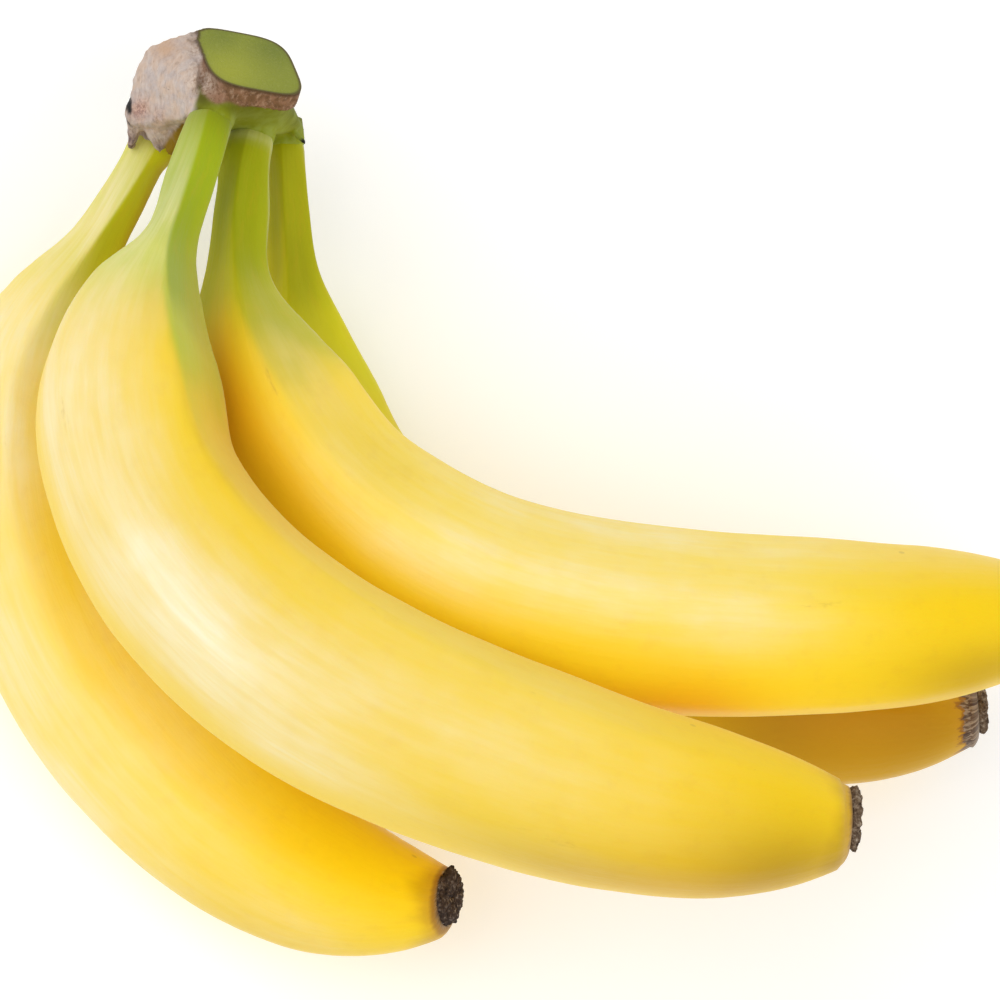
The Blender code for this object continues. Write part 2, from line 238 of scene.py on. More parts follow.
def add_peel(side, banana, material):
    """Fine skin of a banana, with the share of length and the straightened place kept for
    the material."""
    points = spine(banana)
    length = banana["length"] * MM
    seed = banana["length"]
    rings, shares, crests, turns, beyond, straight = [], [], [], [], [], []
    trim = END_TRIM[side] * MM
    whole = 1 + (1.4 * END_ROUNDING[0][0] * MM - trim) / length
    stations = [(share, 0.0, 1.0)
                for share in np.linspace(-STALK_TUCK / length, whole, RINGS).tolist()]
    stations += [(1.0, over, width) for over, width in END_ROUNDING]
    for share, over, width in stations:
        place, along, inner, upper = station(points, share)
        inside = min(max(share + over * MM / length, 0.0), 1.0)
        aside = TIP_SHIFT * (1 - width) / (1 - END_ROUNDING[-1][1])
        if share == 1.0:
            place = place + along * (over * MM - trim) + inner * aside
        lean = math.radians(END_TILT[side]) * ramp(share, 0.90, 1.0)
        radius = float(smooth(GIRTH_AT, GIRTH, inside)) * banana["girth"] * width * MM
        radius *= 1 - STALK_TAPER * (1 - ramp(share * length, -STALK_TUCK, 0.6 * MM))
        depth = float(smooth(RIDGE_AT, RIDGE_DEPTH, inside)) * (0.3 + 0.7 * ramp(share, 0.0, 0.035))
        turn = math.radians(float(smooth(RIDGE_AT, banana["ridges"], inside)))
        body = min(max((inside - 0.12) / 0.15, 0), 1) * min(max((1 - inside) / 0.1, 0), 1)
        ring = []
        for k in range(AROUND):
            angle = 2 * math.pi * k / AROUND
            facing = math.cos(angle) * upper + math.sin(angle) * inner
            flat = place + radius * facing
            wave = 0.45 * lump(flat, 0.030, seed) + 0.10 * lump(flat, 0.009, seed + 5)
            reach = radius * (1 + depth * crest(angle, turn)) + wave * body * MM
            reach += stalk_fit(side, share, math.sin(angle))
            point = tilted(place + reach * facing, place, along, lean)
            point.z = max(point.z, 0.0)
            ring.append(point)
            shares.append(share + (over * MM - trim) / length if share == 1.0 else share)
            crests.append(crest(angle, turn))
            turns.append(math.degrees(angle))
            beyond.append(math.degrees(angle - turn))
            straight.append((math.cos(angle) * STRAIGHT_RADIUS, math.sin(angle) * STRAIGHT_RADIUS,
                             share * length))
        rings.append(ring)
    data = skin("peel_" + side, rings)
    shares += [0.0, 1.0]
    crests += [0.0, 0.0]
    turns += [0.0, 0.0]
    beyond += [0.0, 0.0]
    straight += [(0, 0, 0), (0, 0, length)]
    places = np.array(shares), np.array(turns)
    shares = np.array(shares)
    beyond = (np.array(beyond) + 180) % 360 - 180
    point_attribute(data, "share", shares)
    point_attribute(data, "crest", crests)
    point_attribute(data, "ripe", shares + ripe_shift(side, shares, beyond))
    # Pale bloom, partly painted highlight on the lit facets.
    bloom_and_highlight = patches(BLOOM_AND_HIGHLIGHT_PATCHES[side], places)
    point_attribute(data, "bloom_and_highlight", bloom_and_highlight + (1 - bloom_and_highlight) * flank_bloom_and_highlight(side, shares, beyond))
    # Painted shade: a deeper orange where the peel lies in shade.
    point_attribute(data, "shade_amber", patches(SHADE_AMBER_PATCHES[side], places))
    # Painted shade: darker in the folds, the undersides and beside the top ridge.
    painted_shade = patches(PAINTED_SHADE_PATCHES[side], places)
    point_attribute(data, "painted_shade", painted_shade + (1 - painted_shade) * ridge_shade(side, shares, beyond))
    vector_attribute(data, "straight", straight)
    return new_object("peel_" + side, data, material, "banana_" + side)


# The dark dry tips: length, width as a share of the solid's end, how far they sit towards the
# inner side, and their gap to the peel.
TIP_LENGTH = 1.7 * MM
TIP_WIDTH = 0.82
TIP_SHIFT = 1.0 * MM
TIP_GAP = 0.35 * MM
TIP_AROUND = 72
# How the peel closes round the dark tip: millimetres past the end, and share of the width.
END_ROUNDING = ((-1.5, 0.995), (-0.95, 0.975), (-0.5, 0.94), (-0.2, 0.90), (0.0, 0.83))
# How far each end face is turned up towards the viewer, in degrees.
END_TILT = {"left": 17, "front": 12, "right": 12, "back": 12}
# How much shorter the fine skin is than the solid at its end, in millimetres.
END_TRIM = {"left": 0.0, "front": 1.0, "right": 0.0, "back": -1.0}
# How much further back a dry tip sits than that, in millimetres.
TIP_SET_BACK = {"left": 0.6, "front": 0.0, "right": 0.0, "back": 0.0}
# Dry brown edge of the peel beside the tip: where it starts, and how ragged it is.
DRY_EDGE = {"left": (0.998, 0.003), "front": (0.995, 0.006), "right": (0.994, 0.008),
            "back": (0.987, 0.030)}
# Outline of a dry tip: shares of its length, and widths there.
TIP_PROFILE = ((-0.5, 0.90), (0.0, 0.98), (0.25, 1.02), (0.5, 1.0), (0.75, 0.93), (0.9, 0.82),
               (1.0, 0.62), (0.93, 0.40), (0.86, 0.2))


def add_dry_tip(side, banana, material):
    """Crumbly dark end: an uneven disc with a ragged edge and a hollow middle."""
    place, along, inner, upper = station(spine(banana), 1.0)
    place = place + inner * TIP_SHIFT - along * (END_TRIM[side] + TIP_SET_BACK[side]) * MM
    radius = GIRTH[-1] * banana["girth"] * TIP_WIDTH * MM
    seed = banana["length"] / 3.7
    rings = []
    for share, width in TIP_PROFILE:
        ring = []
        for k in range(TIP_AROUND):
            angle = 2 * math.pi * k / TIP_AROUND
            facing = math.cos(angle) * upper + math.sin(angle) * inner
            rough = lump(Vector((math.cos(angle), math.sin(angle), share)) * 2.2, 1.0, seed)
            fine = lump(Vector((math.cos(angle), math.sin(angle), share)) * 7.0, 1.0, seed)
            reach = radius * width * (1 + 0.13 * rough + 0.09 * fine)
            rise = (share + 0.22 * rough + 0.26 * fine) * TIP_LENGTH
            if share < 0:
                rise = share * TIP_LENGTH
                reach = radius * width
            point = place + along * (TIP_GAP + rise) + facing * reach
            ring.append(tilted(point, place, along, math.radians(END_TILT[side])))
        rings.append(ring)
    data = skin("dry_tip_" + side, rings)
    return new_object("dry_tip_" + side, data, material, "blossom_end_" + side)


def crown_point(local):
    """A point given in millimetres in the crown's axes, from the front banana's start."""
    start = BANANAS["front"]["start"]
    height = BANANAS["front"]["height"][0]
    origin = Vector((start[0], start[1], height)) * MM + SHIFT
    return origin + (local[0] * SIDE + local[1] * UP + local[2] * OUT) * MM


def crown_local(point):
    """The crown's own axes, in millimetres, of a point in the scene."""
    offset = (Vector(point) - crown_point((0, 0, 0))) / MM
    return Vector((offset.dot(SIDE), offset.dot(UP), offset.dot(OUT)))


def cut_axes():
    across = CUT_NORMAL.cross(Vector((0, 0, 1))).normalized()
    return across, across.cross(CUT_NORMAL)


def squared(value):
    return math.copysign(abs(value) ** CUT_SQUARENESS, value)


def oval(offset, grow, count=64):
    """Ring parallel to the knife cut: a squared oval, rolled in its plane."""
    across, deep = cut_axes()
    centre = CUT_CENTRE + CUT_NORMAL * offset
    ring = []
    for k in range(count):
        angle = 2 * math.pi * k / count
        long = (CUT_HALF_LENGTH + grow) * squared(math.cos(angle))
        wide = (CUT_HALF_WIDTH + grow) * squared(math.sin(angle))
        u = long * math.cos(CUT_ROLL) - wide * math.sin(CUT_ROLL)
        v = long * math.sin(CUT_ROLL) + wide * math.cos(CUT_ROLL)
        ring.append(crown_point(centre + across * u + deep * v))
    return ring


def disc(place, along, radius, count=24):
    side = along.orthogonal().normalized()
    other = along.cross(side)
    angles = [2 * math.pi * k / count for k in range(count)]
    return [place + radius * (math.cos(a) * side + math.sin(a) * other) for a in angles]


def add_hull(mesh, points):
    made = bmesh.new()
    for p in points:
        made.verts.new(p)
    bmesh.ops.convex_hull(made, input=made.verts)
    data = bpy.data.meshes.new("hull")
    made.to_mesh(data)
    made.free()
    mesh.from_mesh(data)
    bpy.data.meshes.remove(data)


def add_taper(mesh, root, tip, radius, tip_radius):
    along = (tip - root).normalized()
    add_hull(mesh, disc(root, along, radius) + disc(tip, along, tip_radius)
             + [root - along * radius * 0.7, tip + along * tip_radius * 0.7])


def add_slab(mesh, front, depth):
    """A torn flap of skin: the front outline, and the same outline further back."""
    near = [mesh.verts.new(crown_point(p)) for p in front]
    far = [mesh.verts.new(crown_point(Vector(p) - Vector((0, 0, depth)))) for p in front]
    faces = [mesh.faces.new(near), mesh.faces.new(list(reversed(far)))]
    for k in range(len(near)):
        j = (k + 1) % len(near)
        faces.append(mesh.faces.new((near[j], near[k], far[k], far[j])))
    bmesh.ops.triangulate(mesh, faces=faces[:2])


def crown_lump():
    """The crown before its surface is made: overlapping solids in one mesh."""
    mesh = bmesh.new()
    stalk_discs = []
    for banana in BANANAS.values():
        place, along, _, _ = station(spine(banana), 0.0)
        radius = GIRTH[0] * banana["girth"] * MM
        top, ring, past = (radius * share for share in STUB_WIDENING)
        stalk_discs += disc(place - along * WEB_ABOVE, along, ring)
        add_hull(mesh, disc(place - along * STUB_LENGTH, along, top)
                 + disc(place - along * RING_ABOVE, along, ring)
                 + disc(place + along * 0.2 * MM, along, past))
    add_hull(mesh, stalk_discs + oval(-RIM_HEIGHT, -RIM_OVERHANG))
    add_hull(mesh, oval(-RIM_HEIGHT, 0.0) + oval(1.5, 0.0))
    face = [Vector(p) for p in CORK_FACE]
    behind = [p * CORK_NARROWING - Vector((0, 0, CORK_DEPTH)) for p in face]
    add_hull(mesh, [crown_point(p) for p in face + behind])
    for lobe in LOBES:
        add_slab(mesh, lobe, LOBE_DEPTH)
    nub = Matrix.Translation(crown_point(NUB["centre"])) @ Matrix.Diagonal((*NUB["stretch"], 1))
    bmesh.ops.create_icosphere(mesh, subdivisions=3, radius=NUB["radius"] * MM, matrix=nub)
    add_taper(mesh, crown_point(SPUR["root"]), crown_point(SPUR["tip"]),
              SPUR["radius"] * MM, SPUR["radius"] * 0.6 * MM)
    add_taper(mesh, crown_point(FOLD["root"]), crown_point(FOLD["tip"]),
              FOLD["radius"] * MM, FOLD["radius"] * 1.2 * MM)
    data = bpy.data.meshes.new("crown_lump")
    mesh.to_mesh(data)
    mesh.free()
    return data


def applied(data, *steps):
    """The mesh with modifiers applied, each given as (type, settings)."""
    holder = bpy.data.objects.new("holder", data)
    bpy.context.scene.collection.objects.link(holder)
    for kind, settings in steps:
        made = holder.modifiers.new(kind.lower(), kind)
        for key, value in settings.items():
            setattr(made, key, value)
    evaluated = holder.evaluated_get(bpy.context.evaluated_depsgraph_get())
    result = bpy.data.meshes.new_from_object(evaluated)
    bpy.data.objects.remove(holder)
    return result


def ramp(value, low, high):
    t = min(max((value - low) / (high - low), 0.0), 1.0)
    return t * t * (3 - 2 * t)


def knife_cut(data):
    """Cut the top off flat, and fill the cut with rings that shrink towards its middle."""
    mesh = bmesh.new()
    mesh.from_mesh(data)
    on_cut = mesh.faces.layers.float.new("cut")
    inward = mesh.verts.layers.float.new("inward")
    up = CUT_NORMAL.x * SIDE + CUT_NORMAL.y * UP + CUT_NORMAL.z * OUT
    everything = mesh.verts[:] + mesh.edges[:] + mesh.faces[:]
    bmesh.ops.bisect_plane(mesh, geom=everything, plane_co=crown_point(CUT_CENTRE),
                           plane_no=up, clear_outer=True)
    outline = [e for e in mesh.edges if e.is_boundary]
    for face in bmesh.ops.holes_fill(mesh, edges=outline)["faces"]:
        ring = list(face.verts)
        middle = face.calc_center_median()
        mesh.faces.remove(face)
        outer = [v.co.copy() for v in ring]
        for share in CUT_RINGS:
            inner = []
            for place in outer:
                v = place.lerp(middle, share)
                made = mesh.verts.new(v)
                made[inward] = share
                sunk = (0.12 + 0.12 * lump(crown_local(v), 4.0, 3.0)) * MM
                made.co -= up * sunk * ramp(share, 0.02, 0.3)
                inner.append(made)
            for k in range(len(ring)):
                j = (k + 1) % len(ring)
                mesh.faces.new((ring[k], ring[j], inner[j], inner[k]))[on_cut] = 1.0
            ring = inner
        mesh.faces.new(ring)[on_cut] = 1.0
    for edge in outline:
        edge.smooth = False
    mesh.normal_update()
    mesh.to_mesh(data)
    mesh.free()


def add_crown(material):
    """Remeshed crown with a flat knife cut, and where each kind of surface is."""
    data = applied(crown_lump(),
                   ("REMESH", dict(mode="VOXEL", voxel_size=CROWN_VOXEL)),
                   ("SMOOTH", dict(factor=0.5, iterations=4)))
    moved = []
    places = [v.co.copy() for v in data.vertices]
    normals = [v.normal.copy() for v in data.vertices]
    for place, normal in zip(places, normals):
        local = crown_local(place)
        above = (local - CUT_CENTRE).dot(CUT_NORMAL)
        grain = Vector((local.x, local.y * 0.3, local.z))
        rough = (0.34 * lump(local, 2.6, 1.0) + 0.16 * lump(local, 1.1, 4.0)
                 + 0.22 * lump(grain, 0.8, 6.0))
        dry = max(on_cork(local), 0.45 * on_rim(local, above) * (1 - ramp(above, -0.8, -0.2)))
        moved.append(place + normal * rough * dry * MM)
    data.vertices.foreach_set("co", [c for place in moved for c in place])
    data.shade_smooth()
    knife_cut(data)
    kinds = {name: [] for name in ("cork", "rim", "dark", "edge", "low", "fold_shade", *CROWN_TINTS)}
    flat = []
    inward = [value.value for value in data.attributes["inward"].data]
    for v, inside in zip(data.vertices, inward):
        local = crown_local(v.co)
        above = (local - CUT_CENTRE).dot(CUT_NORMAL)
        kinds["cork"].append(on_cork(local))
        kinds["rim"].append(on_rim(local, above))
        offset = local - Vector(NUB["centre"])
        from_nub = Vector([c / part for c, part in zip(offset, NUB["stretch"])]).length
        from_spur = (local - Vector(SPUR["tip"])).length
        kinds["dark"].append(max(1 - ramp(from_nub, 1.7, 2.1), 1 - ramp(from_spur, 0.7, 1.5)))
        beside = 1 - ramp(-above, 0.25, 0.75) if inside == 0 else 1 - ramp(inside, 0.02, 0.08)
        kinds["edge"].append(beside)
        kinds["fold_shade"].append(1 - ramp(from_fold(local), 1.5, 2.3))
        # Painted shade: the green is kept lighter low down and darker olive up under the rim.
        kinds["low"].append(1 - ramp(local.y + 0.6 * lump(local, 2.0, 5.0), -0.5, 4.5))
        for name, spots in CROWN_TINTS.items():
            kinds[name].append(max(spot(local, *one) for one in spots))
        flat.extend(local)
    for name, values in kinds.items():
        point_attribute(data, name, values)
    vector_attribute(data, "local", flat)
    made = new_object("crown_skin", data, material, "crown")
    return made


# Places on the crown with a tint, in its axes: x, y, reach and strength.
CROWN_TINTS = {
    "tan": ((-9.2, 15.0, 2.6, 0.75), (-5.4, 15.6, 1.6, 0.35)),
    "red": ((-14.4, 3.6, 2.2, 0.75), (-10.5, 1.8, 2.0, 0.35)),
    "lobe": ((-16.9, -1.8, 2.4, 0.95), (-11.0, -3.6, 2.2, 0.80), (-8.0, -1.2, 1.6, 0.5)),
    "pale": ((-3.6, 14.0, 1.5, 0.75), (-3.4, 10.5, 1.3, 0.55), (-1.6, 7.2, 2.4, 0.85)),
    "bright": ((3.4, 9.6, 6.0, 0.9),),
    "deep": ((11.0, 17.0, 5.0, 0.7), (1.0, 18.5, 3.5, 0.5)),
    # Painted shade in the hollows under the rim, between the cork and the stalks.
    "shade": ((-1.0, 4.4, 2.4, 0.90), (-2.4, 1.6, 1.8, 0.75), (6.0, 3.6, 3.4, 0.50)),
}


def spot(local, x, y, reach, strength):
    return strength * math.exp(-((local.x - x) ** 2 + (local.y - y) ** 2) / reach ** 2)


def from_fold(local):
    """Millimetres from the middle line of the strip in the fold."""
    root, tip = Vector(FOLD["root"]), Vector(FOLD["tip"])
    along = (local - root).dot(tip - root) / (tip - root).length_squared
    return (local - root.lerp(tip, min(max(along, 0.0), 1.0))).length


def on_cork(local):
    """1 on the corky skin at the crown's left."""
    edge = -2.6 + 0.05 * local.y + 0.8 * lump(local, 3.0, 9.0)
    return 1 - ramp(local.x, edge - 0.6, edge + 0.6)


def on_rim(local, above):
    """1 on the brown band under the cut."""
    across, deep = cut_axes()
    offset = local - CUT_CENTRE - CUT_NORMAL * above
    u, v = offset.dot(across), offset.dot(deep)
    long = (u * math.cos(CUT_ROLL) + v * math.sin(CUT_ROLL)) / CUT_HALF_LENGTH
    wide = (-u * math.sin(CUT_ROLL) + v * math.cos(CUT_ROLL)) / CUT_HALF_WIDTH
    power = 2 / CUT_SQUARENESS
    out = (abs(long) ** power + abs(wide) ** power) ** (1 / power)
    lower = 0.6 * lump(local, 2.4, 2.0) - RIM_HEIGHT
    return ramp(above, lower - 0.5, lower + 0.3) * (1 - ramp(out, 1.12, 1.3))


# Materials

class Nodes:
    """Short way to add shader nodes and link them."""

    def __init__(self, name):
        self.material = bpy.data.materials.new(name)
        self.material.use_nodes = True
        self.tree = self.material.node_tree
        self.shader = self.tree.nodes["Principled BSDF"]

    def add(self, kind, **settings):
        made = self.tree.nodes.new(kind)
        for key, value in settings.items():
            setattr(made, key, value)
        return made

    def link(self, source, target):
        self.tree.links.new(source, target)

    def attribute(self, name, output="Fac"):
        return self.add("ShaderNodeAttribute", attribute_name=name).outputs[output]

    def noise(self, vector, scale, detail=2.0, rough=0.5):
        made = self.add("ShaderNodeTexNoise")
        made.inputs["Scale"].default_value = scale
        made.inputs["Detail"].default_value = detail
        made.inputs["Roughness"].default_value = rough
        self.link(vector, made.inputs["Vector"])
        return made.outputs["Fac"]

    def stretched(self, vector, scale):
        made = self.add("ShaderNodeMapping")
        made.inputs["Scale"].default_value = scale
        self.link(vector, made.inputs["Vector"])
        return made.outputs["Vector"]

    def ramp(self, value, stops):
        made = self.add("ShaderNodeValToRGB")
        made.color_ramp.interpolation = "EASE"
        elements = made.color_ramp.elements
        while len(elements) < len(stops):
            elements.new(0.5)
        for element, (at, colour) in zip(elements, stops):
            element.position = at
            element.color = (*colour, 1)
        self.link(value, made.inputs["Fac"])
        return made.outputs["Color"]

    def mask(self, value, low, high):
        made = self.add("ShaderNodeMapRange", interpolation_type="SMOOTHSTEP")
        made.inputs["From Min"].default_value = low
        made.inputs["From Max"].default_value = high
        self.link(value, made.inputs["Value"])
        return made.outputs["Result"]

    def maths(self, operation, a, b):
        made = self.add("ShaderNodeMath", operation=operation)
        for value, socket in zip((a, b), made.inputs):
            if isinstance(value, (int, float)):
                socket.default_value = value
            else:
                self.link(value, socket)
        return made.outputs[0]

    def mix(self, factor, a, b, blend="MIX"):
        made = self.add("ShaderNodeMix", data_type="RGBA", blend_type=blend)
        for value, socket in zip((factor, a, b), (made.inputs[0], made.inputs[6], made.inputs[7])):
            if isinstance(value, (int, float)):
                socket.default_value = value
            elif isinstance(value, tuple):
                socket.default_value = (*value, 1)
            else:
                self.link(value, socket)
        return made.outputs[2]

    def bump(self, height, strength, distance, normal=None):
        made = self.add("ShaderNodeBump")
        made.inputs["Strength"].default_value = strength
        made.inputs["Distance"].default_value = distance
        self.link(height, made.inputs["Height"])
        if normal:
            self.link(normal, made.inputs["Normal"])
        return made.outputs["Normal"]

    def finish(self, colour, roughness, normal, **fixed):
        self.link(colour, self.shader.inputs["Base Color"])
        if isinstance(roughness, (int, float)):
            self.shader.inputs["Roughness"].default_value = roughness
        else:
            self.link(roughness, self.shader.inputs["Roughness"])
        self.link(normal, self.shader.inputs["Normal"])
        for name, value in fixed.items():
            self.shader.inputs[name.replace("_", " ")].default_value = value
        return self.material


def srgb(r, g, b):
    """Linear colour from ordinary 0 to 255 values."""
    shares = (r / 255, g / 255, b / 255)
    return tuple(((c + 0.055) / 1.055) ** 2.4 if c > 10 / 255 else c / 12.92 for c in shares)


# Ripe colour of each banana's middle, and of the part towards its tip.
YELLOW = {"left": srgb(253, 216, 24), "front": srgb(247, 210, 24), "right": srgb(254, 218, 26),
          "back": srgb(248, 211, 24)}
GOLD = {"left": srgb(253, 213, 8), "front": srgb(249, 208, 8), "right": srgb(250, 209, 6),
        "back": srgb(248, 206, 6)}
TIP_OLIVE = srgb(214, 172, 10)
# Orange of the painted shade.
SHADE_AMBER = srgb(246, 180, 2)
SHADE = (0.50, 0.44, 0.30)
# Pale colour of the waxy bloom and of the painted highlight.
BLOOM_AND_HIGHLIGHT = srgb(252, 242, 205)
SPECK = srgb(112, 66, 22)

# How each banana's peel turns from green to yellow: stalk colour, neck colour, and the shares
# of length where the stalk colour ends, the neck colour is reached and the yellow is reached.
RIPENESS = {
    "left": (srgb(206, 204, 24), srgb(230, 212, 34), 0.05, 0.14, 0.24),
    "front": (srgb(160, 178, 5), srgb(198, 204, 16), 0.10, 0.17, 0.27),
    "right": (srgb(166, 172, 4), srgb(190, 186, 8), 0.09, 0.17, 0.27),
    "back": (srgb(174, 174, 5), srgb(218, 210, 12), 0.08, 0.18, 0.46),
}

# Waxy pale bloom, partly painted highlight on the lit facets, on each banana: share of length,
# degrees round from the top (towards the inner side), half width in each direction, and strength.
BLOOM_AND_HIGHLIGHT_PATCHES = {
    "left": ((0.35, -20, 0.10, 24, 0.56), (0.66, -32, 0.13, 38, 0.36), (0.87, -50, 0.08, 30, 0.20),
             (0.24, -64, 0.12, 34, 0.60), (0.48, -74, 0.16, 30, 0.30), (0.66, -88, 0.18, 26, 0.40),
             (0.50, -44, 0.09, 22, 0.26), (0.58, 26, 0.14, 26, 0.20), (0.18, -4, 0.05, 20, 0.25),
             (0.25, -20, 0.06, 24, 0.30)),
    "front": ((0.25, -28, 0.08, 24, 0.40), (0.37, -26, 0.09, 22, 0.42), (0.46, -26, 0.13, 26, 0.58),
              (0.54, -54, 0.10, 26, 0.48), (0.60, -2, 0.13, 24, 0.26), (0.76, 0, 0.10, 60, 0.14),
              (0.58, 36, 0.14, 22, 0.14), (0.32, 6, 0.12, 20, 0.20), (0.32, -62, 0.14, 24, 0.42)),
    "right": ((0.25, 22, 0.07, 26, 0.16), (0.34, 14, 0.06, 24, 0.12), (0.43, 5, 0.08, 22, 0.26),
              (0.54, 10, 0.11, 24, 0.42), (0.67, 0, 0.09, 26, 0.30), (0.60, 56, 0.24, 26, 0.40),
              (0.41, -14, 0.09, 14, 0.22), (0.54, 62, 0.08, 18, 0.18),
              (0.004, 0, 0.006, 90, 0.22)),
    "back": ((0.34, 20, 0.12, 40, 0.10),),
}
# Painted shade: a deeper orange where the peel lies in shade, given the same way.
SHADE_AMBER_PATCHES = {
    "left": ((0.24, 50, 0.12, 28, 0.25), (0.09, 84, 0.10, 22, 0.35)),
    "front": ((0.26, 70, 0.12, 24, 0.30), (0.86, -64, 0.10, 30, 0.30), (0.43, 54, 0.09, 22, 0.28)),
    "right": ((0.23, -36, 0.06, 24, 0.70), (0.31, -30, 0.08, 20, 0.30), (0.65, -62, 0.05, 22, 0.50),
              (0.78, -66, 0.12, 30, 0.10)),
    "back": ((0.90, -20, 0.16, 80, 0.70),),
}
# Painted shade: darker in the folds and undersides, given the same way.
PAINTED_SHADE_PATCHES = {
    "left": ((0.22, 74, 0.16, 24, 0.25), (0.07, 84, 0.12, 26, 0.50), (0.85, -78, 0.12, 34, 0.28)),
    "front": ((0.22, 88, 0.12, 24, 0.30), (0.93, -48, 0.085, 44, 0.85), (0.78, -64, 0.10, 28, 0.50),
              (0.20, 10, 0.04, 14, 0.18), (0.45, -30, 0.25, 60, 0.15), (-0.01, 0, 0.03, 200, 0.75)),
    "right": ((0.28, -46, 0.08, 20, 0.55), (-0.012, 0, 0.010, 200, 0.40), (0.06, -60, 0.08, 30, 0.32),
              (0.89, -48, 0.07, 26, 0.62)),
    "back": ((0.12, -56, 0.10, 24, 0.36), (0.80, -24, 0.12, 80, 0.90), (0.95, -24, 0.12, 80, 0.90)),
}


def patches(listed, points):
    """Strength of soft patches at (share, angle) points round a banana."""
    share, angle = points
    total = np.zeros(len(share))
    for at, turn, reach, spread, strength in listed:
        away = (angle - turn + 180) % 360 - 180
        soft = strength * np.exp(-((share - at) / reach) ** 2 - (away / spread) ** 2)
        total = total + soft * (1 - total)
    return total


def smooth_step(values, low, high):
    t = np.clip((values - low) / (high - low), 0, 1)
    return t * t * (3 - 2 * t)


# How far ripening is ahead on the outer facet, and behind on the inner one.
RIPE_SHIFT = {"left": (0.02, 0.045), "front": (0.02, 0.07), "right": (0.03, 0.015),
              "back": (0.02, 0.02)}


def ripe_shift(side, shares, beyond):
    """The inner facet next to the top ridge stays green longer than the outer one."""
    ahead, behind = RIPE_SHIFT[side]
    inner = smooth_step(beyond, -5, 5) * (1 - smooth_step(beyond, 45, 95))
    outer = smooth_step(-beyond, -5, 5) * (1 - smooth_step(-beyond, 100, 150))
    return (ahead * outer - behind * inner) * (1 - smooth_step(shares, 0.32, 0.52))


# Shares between which the ridge's darker line and facet fade out.
RIDGE_SHADE_ENDS = {"left": (0.40, 0.66), "front": (0.36, 0.54), "right": (0.33, 0.45),
                    "back": (0.40, 0.66)}


def ridge_shade(side, shares, beyond):
    """A fine darker line on the top ridge, and painted shade on the facet just inside it."""
    line = 0.16 * np.exp(-(beyond / 2.5) ** 2)
    facet = 0.17 * smooth_step(beyond, -3, 6) * (1 - smooth_step(beyond, 34, 70))
    reach = smooth_step(shares, 0.05, 0.12) * (1 - smooth_step(shares, *RIDGE_SHADE_ENDS[side]))
    return np.maximum(line, facet) * reach


# Bloom and painted highlight on the lit outer facet beside the top ridge: middle share, reach and
# strength.
FLANKS = {"left": (0.08, 0.09, 0.46), "front": (0.11, 0.075, 0.30)}


def flank_bloom_and_highlight(side, shares, beyond):
    # Painted highlight, with waxy bloom, on the outer facet that faces the light.
    if side not in FLANKS:
        return np.zeros(len(shares))
    at, reach, strength = FLANKS[side]
    facet = smooth_step(-beyond, -4, 5) * (1 - smooth_step(-beyond, 55, 95))
    return strength * facet * np.exp(-((shares - at) / reach) ** 2)


